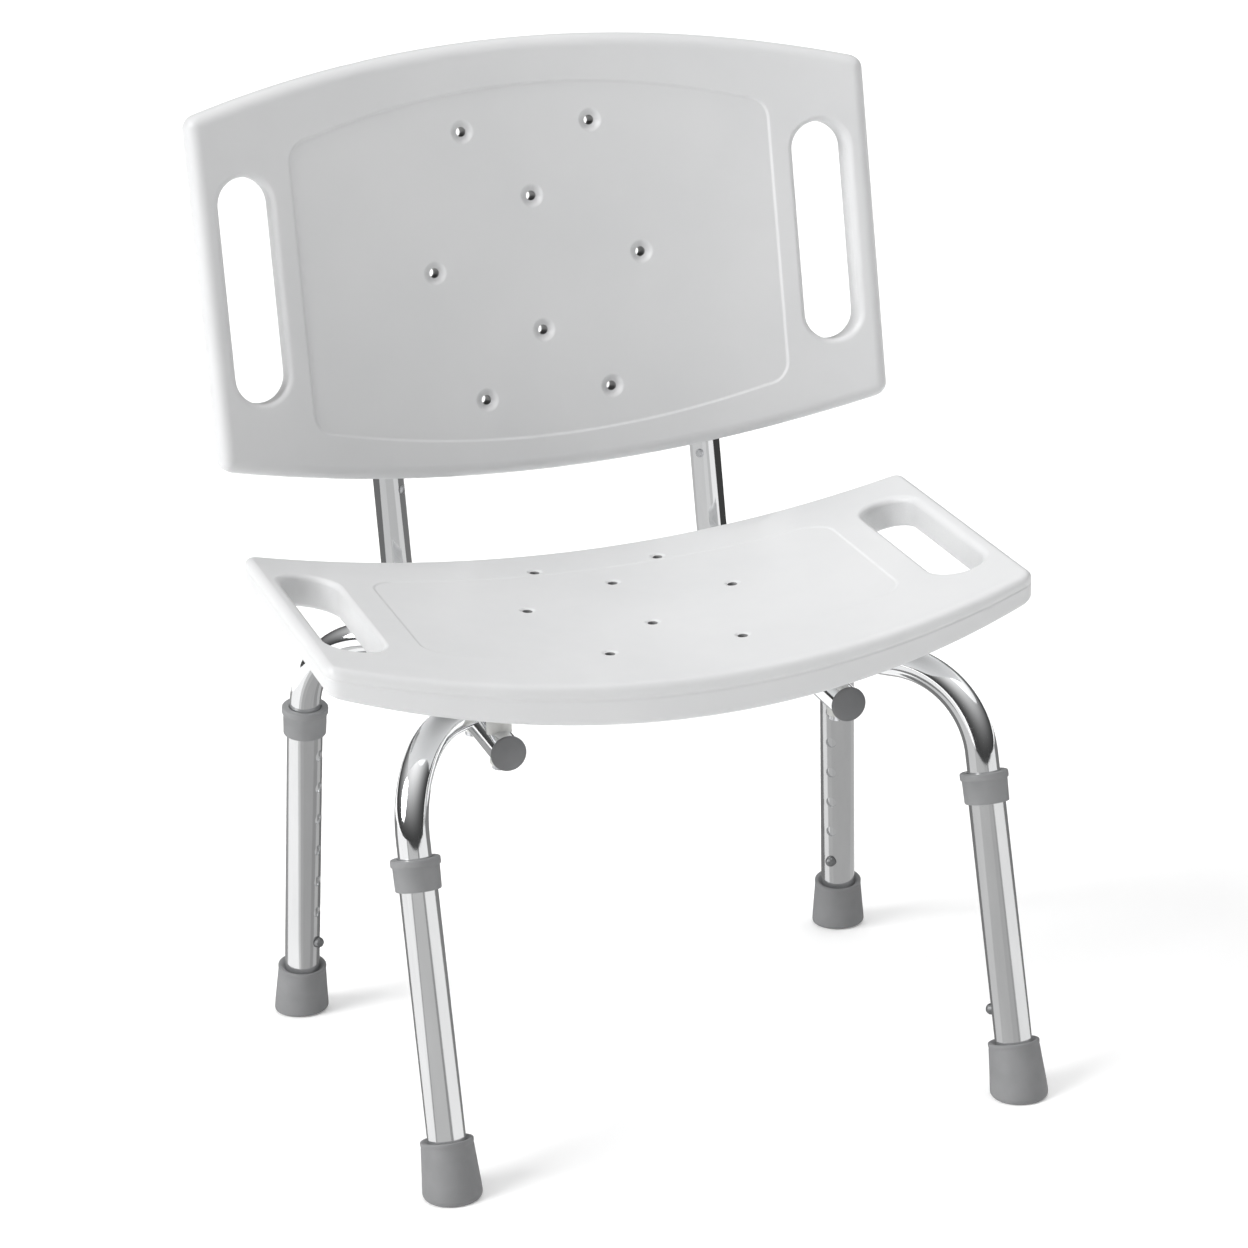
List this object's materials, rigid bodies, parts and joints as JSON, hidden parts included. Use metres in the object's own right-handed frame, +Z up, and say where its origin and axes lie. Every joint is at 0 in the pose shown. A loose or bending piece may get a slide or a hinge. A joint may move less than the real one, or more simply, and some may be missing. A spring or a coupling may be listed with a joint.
{
  "type": "bath chair",
  "caption": "Bath chair with a backrest: dished plastic seat and back with side grips and drain holes, on bent metal tubes, with sprung-button height-adjustable legs and rubber feet.",
  "frame": {"origin": "on the floor, under the middle of the chair's bounding box", "axes": "+Z up, the user faces -Y, +X to the right of someone looking at the front of the chair"},
  "size_m": [0.498, 0.4315, 0.6958],
  "materials": {
    "white_panel": "satin",
    "grey_plastic": "matt",
    "dark_plastic": "satin",
    "grey_rubber": "matt",
    "polished_tube": "polished",
    "satin_tube": "satin anodised",
    "zinc_steel": "zinc plated",
    "brass_insert": "turned",
    "clear_plastic": "satin"
  },
  "bodies": {
    "frame": {"seat_panel": "white_panel", "back_panel": "white_panel", "left_leg_frame": "polished_tube", "right_leg_frame": "polished_tube", "left_back_tube": "polished_tube", "right_back_tube": "polished_tube", "left_front_cap": "dark_plastic", "right_front_cap": "dark_plastic", "back_tube_top_plugs": "dark_plastic", "tube_saddles": "clear_plastic", "seat_spacers": "clear_plastic", "frame_bolts": "zinc_steel", "spacer_bolts": "zinc_steel", "bolt_saddle_washers": "clear_plastic", "seat_inserts": "brass_insert", "back_screws": "zinc_steel", "back_screw_washers": "clear_plastic", "back_stop_rivets": "zinc_steel", "snap_button_springs": "zinc_steel"},
    "front_left_leg": {"front_left_lower_tube": "satin_tube", "front_left_collar": "grey_plastic", "front_left_foot": "grey_rubber", "front_left_foot_washer": "zinc_steel"},
    "front_left_snap": {"front_left_button": "zinc_steel"},
    "front_right_leg": {"front_right_lower_tube": "satin_tube", "front_right_collar": "grey_plastic", "front_right_foot": "grey_rubber", "front_right_foot_washer": "zinc_steel"},
    "front_right_snap": {"front_right_button": "zinc_steel"},
    "rear_left_leg": {"rear_left_lower_tube": "satin_tube", "rear_left_collar": "grey_plastic", "rear_left_foot": "grey_rubber", "rear_left_foot_washer": "zinc_steel"},
    "rear_left_snap": {"rear_left_button": "zinc_steel"},
    "rear_right_leg": {"rear_right_lower_tube": "satin_tube", "rear_right_collar": "grey_plastic", "rear_right_foot": "grey_rubber", "rear_right_foot_washer": "zinc_steel"},
    "rear_right_snap": {"rear_right_button": "zinc_steel"}
  },
  "joints": [
    {"name": "front_left_leg_height", "type": "slide", "parent": "frame", "child": "front_left_leg", "axis": [-0.0052, -0.2034, -0.9791], "range_m": [0, 0.1524]},
    {"name": "front_left_button_press", "type": "slide", "parent": "frame", "child": "front_left_snap", "axis": [-0.721, -0.6777, 0.1446], "range_m": [0, 0.0052], "stiffness_N_per_m": 800, "springref_m": -0.002, "deforming": ["snap_button_springs"]},
    {"name": "front_right_leg_height", "type": "slide", "parent": "frame", "child": "front_right_leg", "axis": [0.0052, -0.2034, -0.9791], "range_m": [0, 0.1524]},
    {"name": "front_right_button_press", "type": "slide", "parent": "frame", "child": "front_right_snap", "axis": [0.721, -0.6777, 0.1446], "range_m": [0, 0.0052], "stiffness_N_per_m": 800, "springref_m": -0.002, "deforming": ["snap_button_springs"]},
    {"name": "rear_left_leg_height", "type": "slide", "parent": "frame", "child": "rear_left_leg", "axis": [-0.0386, 0.1837, -0.9822], "range_m": [0, 0.1524]},
    {"name": "rear_left_button_press", "type": "slide", "parent": "frame", "child": "rear_left_snap", "axis": [-0.7068, 0.6898, 0.1568], "range_m": [0, 0.0052], "stiffness_N_per_m": 800, "springref_m": -0.002, "deforming": ["snap_button_springs"]},
    {"name": "rear_right_leg_height", "type": "slide", "parent": "frame", "child": "rear_right_leg", "axis": [0.0386, 0.1837, -0.9822], "range_m": [0, 0.1524]},
    {"name": "rear_right_button_press", "type": "slide", "parent": "frame", "child": "rear_right_snap", "axis": [0.7068, 0.6898, 0.1568], "range_m": [0, 0.0052], "stiffness_N_per_m": 800, "springref_m": -0.002, "deforming": ["snap_button_springs"]}
  ]
}
